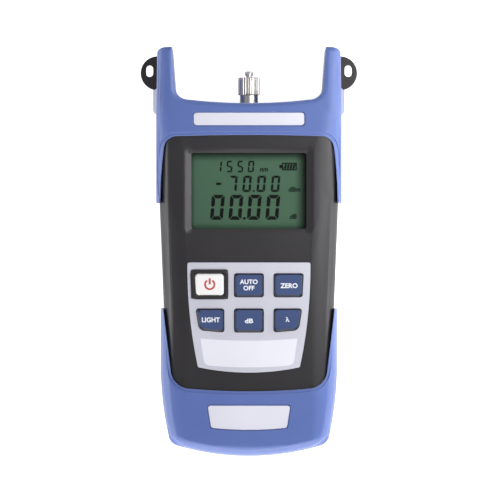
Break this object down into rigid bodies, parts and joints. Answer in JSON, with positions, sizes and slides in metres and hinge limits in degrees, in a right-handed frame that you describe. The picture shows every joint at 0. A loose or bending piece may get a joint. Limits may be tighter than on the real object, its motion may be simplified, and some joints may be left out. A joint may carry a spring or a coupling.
{
  "type": "optical power meter",
  "caption": "Handheld fibre optic power meter in a rubber-booted case, with display, keypad, capped fibre port between two horns and strap eyes.",
  "frame": {"origin": "middle of the surface the meter lies on, on its back", "axes": "+Y along the meter towards the fibre port, +Z out of the display, +X to the user's right"},
  "size_m": [0.101, 0.19, 0.048],
  "materials": {
    "shell_plastic": "fine moulded grain, satin black",
    "boot_rubber": "smooth satin blue rubber",
    "lug_nylon": "glossy black nylon",
    "name_plate": "pale satin film",
    "clear_acrylic": "clear polished acrylic",
    "panel_glass": "reflective green liquid crystal panel",
    "holder_plastic": "white moulded plastic",
    "overlay_film": "printed silver film",
    "key_blue": "satin slate blue",
    "key_white": "satin white",
    "silicone": "translucent silicone",
    "board_laminate": "green solder mask",
    "chip_epoxy": "black moulding compound",
    "nickel": "nickel plated brass",
    "detector_metal": "gold flashed can",
    "zirconia": "white ceramic",
    "cell_jacket": "plain printed jacket",
    "contact_steel": "nickel plated spring steel",
    "screw_steel": "black zinc plated"
  },
  "bodies": {
    "case": {"front_shell": "shell_plastic", "rear_shell": "shell_plastic", "upper_boot": "boot_rubber", "lower_boot": "boot_rubber", "strap_lug_left": "lug_nylon", "strap_lug_right": "lug_nylon", "upper_plate": "name_plate", "lower_plate": "name_plate", "display_window": "clear_acrylic", "lcd_panel": "panel_glass", "lcd_holder": "holder_plastic", "keypad_overlay": "overlay_film", "key_mat": "silicone", "main_board": "board_laminate", "board_chips": "chip_epoxy", "port_base": "nickel", "port_nut": "nickel", "detector_can": "detector_metal", "battery_1": "cell_jacket", "battery_2": "cell_jacket", "battery_3": "cell_jacket", "contact_springs": "contact_steel", "contact_plates": "contact_steel", "housing_screws": "screw_steel", "board_screws": "screw_steel"},
    "adapter": {"fibre_adapter": "nickel", "alignment_sleeve": "zirconia"},
    "coupling_ring": {"coupling_ring": "nickel"},
    "cap_seal": {"cap_seal": "silicone"},
    "dust_cap": {"dust_cap": "nickel"},
    "battery_door": {"battery_door": "shell_plastic"},
    "power_key": {"power_key": "key_white"},
    "auto_off_key": {"auto_off_key": "key_blue"},
    "zero_key": {"zero_key": "key_blue"},
    "light_key": {"light_key": "key_blue"},
    "decibel_key": {"decibel_key": "key_blue"},
    "wavelength_key": {"wavelength_key": "key_blue"}
  },
  "joints": [
    {"name": "power_key_press", "type": "slide", "parent": "case", "child": "power_key", "axis": [0, 0, -1], "range_m": [0, 0.001], "stiffness_N_per_m": 600, "springref_m": -0.0005, "deforming": ["key_mat"]},
    {"name": "auto_off_key_press", "type": "slide", "parent": "case", "child": "auto_off_key", "axis": [0, 0, -1], "range_m": [0, 0.001], "stiffness_N_per_m": 600, "springref_m": -0.0005, "deforming": ["key_mat"]},
    {"name": "zero_key_press", "type": "slide", "parent": "case", "child": "zero_key", "axis": [0, 0, -1], "range_m": [0, 0.001], "stiffness_N_per_m": 600, "springref_m": -0.0005, "deforming": ["key_mat"]},
    {"name": "light_key_press", "type": "slide", "parent": "case", "child": "light_key", "axis": [0, 0, -1], "range_m": [0, 0.001], "stiffness_N_per_m": 600, "springref_m": -0.0005, "deforming": ["key_mat"]},
    {"name": "decibel_key_press", "type": "slide", "parent": "case", "child": "decibel_key", "axis": [0, 0, -1], "range_m": [0, 0.001], "stiffness_N_per_m": 600, "springref_m": -0.0005, "deforming": ["key_mat"]},
    {"name": "wavelength_key_press", "type": "slide", "parent": "case", "child": "wavelength_key", "axis": [0, 0, -1], "range_m": [0, 0.001], "stiffness_N_per_m": 600, "springref_m": -0.0005, "deforming": ["key_mat"]},
    {"name": "battery_door_hinge", "type": "hinge", "parent": "case", "child": "battery_door", "pos_m": [0, -0.0585, 0.0026], "axis": [-1, 0, 0], "range_deg": [0, 75]},
    {"name": "adapter_slide", "type": "slide", "parent": "case", "child": "adapter", "axis": [0, 1, 0], "range_m": [0, 0.006]},
    {"name": "coupling_ring_turn", "type": "hinge", "parent": "adapter", "child": "coupling_ring", "pos_m": [0, 0.065, 0.024], "axis": [0, 1, 0], "range_deg": [0, 2196]},
    {"name": "cap_slide", "type": "slide", "parent": "adapter", "child": "cap_seal", "axis": [0, 1, 0], "range_m": [0, 0.006]},
    {"name": "dust_cap_turn", "type": "hinge", "parent": "cap_seal", "child": "dust_cap", "pos_m": [0, 0.077, 0.024], "axis": [0, 1, 0], "range_deg": [0, 2928]}
  ],
  "couplings": [
    {"joint": "coupling_ring_turn", "follows": "adapter_slide", "rad_per_m": 6283.2},
    {"joint": "dust_cap_turn", "follows": "cap_slide", "rad_per_m": 8377.6}
  ]
}
